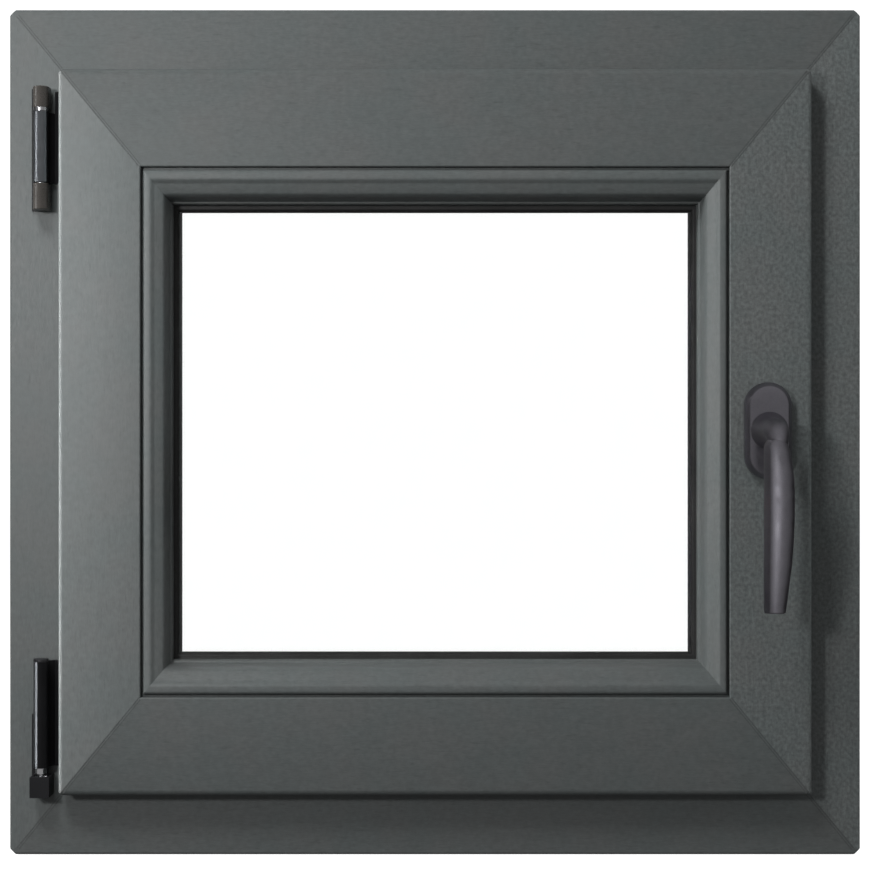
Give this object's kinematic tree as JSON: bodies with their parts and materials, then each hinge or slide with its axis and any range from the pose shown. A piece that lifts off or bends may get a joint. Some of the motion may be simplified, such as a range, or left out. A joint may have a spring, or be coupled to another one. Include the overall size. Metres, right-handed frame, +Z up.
{
  "type": "tilt-and-turn casement window",
  "caption": "Dark grey tilt-and-turn casement window with mitred frame, overlapping sash, double glazing, side hinges and a lever handle.",
  "frame": {"origin": "middle of the sill's underside, at mid-depth of the outer frame", "axes": "+X to the right seen from the room, +Y out towards the weather side, +Z up"},
  "size_m": [0.6, 0.1485, 0.596],
  "materials": {
    "foiled_pvc": "wood-grain foil, satin",
    "bead_pvc": "fine wood-grain foil, satin",
    "gasket_rubber": "matt black",
    "clear_glass": "clear, polished",
    "spacer_aluminium": "mill finish",
    "packer_plastic": "matt",
    "zinc_steel": "galvanised",
    "handle_finish": "satin powder coat",
    "black_plastic": "satin black",
    "dark_hinge": "gloss dark coat",
    "hinge_cap": "dark glossy",
    "hinge_steel": "bright plated",
    "bright_steel": "bright zinc",
    "cast_zinc": "die cast",
    "hardware_steel": "silver passivated"
  },
  "bodies": {
    "frame": {"frame_head": "foiled_pvc", "frame_sill": "foiled_pvc", "frame_hinge_jamb": "foiled_pvc", "frame_lock_jamb": "foiled_pvc", "frame_reinforcement": "zinc_steel", "frame_outer_gasket": "gasket_rubber", "drain_caps": "black_plastic", "lock_keep": "hardware_steel", "head_keep": "hardware_steel", "tilt_keep": "hardware_steel", "keep_screws": "bright_steel", "corner_bearing": "dark_hinge", "stay_bearing": "dark_hinge", "stay_bearing_pin": "bright_steel", "stay_bearing_caps": "hinge_cap", "bearing_screws": "bright_steel"},
    "hinge_pivot": {"pivot_turret": "bright_steel"},
    "sash": {"sash_top_rail": "foiled_pvc", "sash_bottom_rail": "foiled_pvc", "sash_hinge_stile": "foiled_pvc", "sash_lock_stile": "foiled_pvc", "sash_reinforcement": "zinc_steel", "sash_lip_gasket": "gasket_rubber", "glazing_outer_gasket": "gasket_rubber", "bead_top": "bead_pvc", "bead_bottom": "bead_pvc", "bead_hinge_side": "bead_pvc", "bead_lock_side": "bead_pvc", "bead_gasket": "gasket_rubber", "glass_outer_pane": "clear_glass", "glass_inner_pane": "clear_glass", "glass_spacer": "spacer_aluminium", "glass_edge_seal": "gasket_rubber", "glazing_blocks": "packer_plastic", "lock_faceplate": "hardware_steel", "top_faceplate": "hardware_steel", "bottom_faceplate": "hardware_steel", "corner_drives": "hardware_steel", "faceplate_screws": "bright_steel", "gear_case": "cast_zinc", "corner_hinge": "hinge_steel", "corner_hinge_pin": "bright_steel", "corner_hinge_cap": "black_plastic", "corner_hinge_screws": "bright_steel", "stay_guide": "hardware_steel", "handle_base": "black_plastic", "handle_rosette": "handle_finish", "handle_screws": "bright_steel"},
    "handle": {"handle_lever": "handle_finish", "handle_spindle": "bright_steel", "drive_pinion": "bright_steel"},
    "lock_rod": {"lock_drive_rod": "hardware_steel", "lock_cam": "bright_steel"},
    "top_rod": {"top_drive_rod": "hardware_steel", "top_cam": "bright_steel"},
    "bottom_rod": {"bottom_drive_rod": "hardware_steel", "bottom_cam": "bright_steel"},
    "stay": {"stay_arm": "hinge_steel", "stay_slider": "bright_steel"}
  },
  "joints": [
    {"name": "sash_turn", "type": "hinge", "parent": "frame", "child": "hinge_pivot", "pos_m": [-0.2757, -0.046, 0.05108], "axis": [0, 0, -1], "range_deg": [0, 95]},
    {"name": "sash_tilt", "type": "hinge", "parent": "hinge_pivot", "child": "sash", "pos_m": [-0.2757, -0.046, 0.05108], "axis": [1, 0, 0], "range_deg": [0, 12.5]},
    {"name": "handle_turn", "type": "hinge", "parent": "sash", "child": "handle", "pos_m": [0.2309, -0.0255, 0.299], "axis": [0, 1, 0], "range_deg": [0, 180]},
    {"name": "lock_rod_slide", "type": "slide", "parent": "sash", "child": "lock_rod", "axis": [0, 0, -1], "range_m": [0, 0.0236]},
    {"name": "top_rod_slide", "type": "slide", "parent": "sash", "child": "top_rod", "axis": [1, 0, 0], "range_m": [0, 0.0236]},
    {"name": "bottom_rod_slide", "type": "slide", "parent": "sash", "child": "bottom_rod", "axis": [-1, 0, 0], "range_m": [0, 0.0236]},
    {"name": "stay_swing", "type": "hinge", "parent": "hinge_pivot", "child": "stay", "pos_m": [-0.2757, -0.046, 0.5], "axis": [0, 0, -1], "range_deg": [0, 29]}
  ],
  "couplings": [
    {"joint": "lock_rod_slide", "follows": "handle_turn", "m_per_rad": 0.0075},
    {"joint": "top_rod_slide", "follows": "handle_turn", "m_per_rad": 0.0075},
    {"joint": "bottom_rod_slide", "follows": "handle_turn", "m_per_rad": 0.0075},
    {"joint": "stay_swing", "follows": "sash_tilt", "ratio": 2.285}
  ]
}
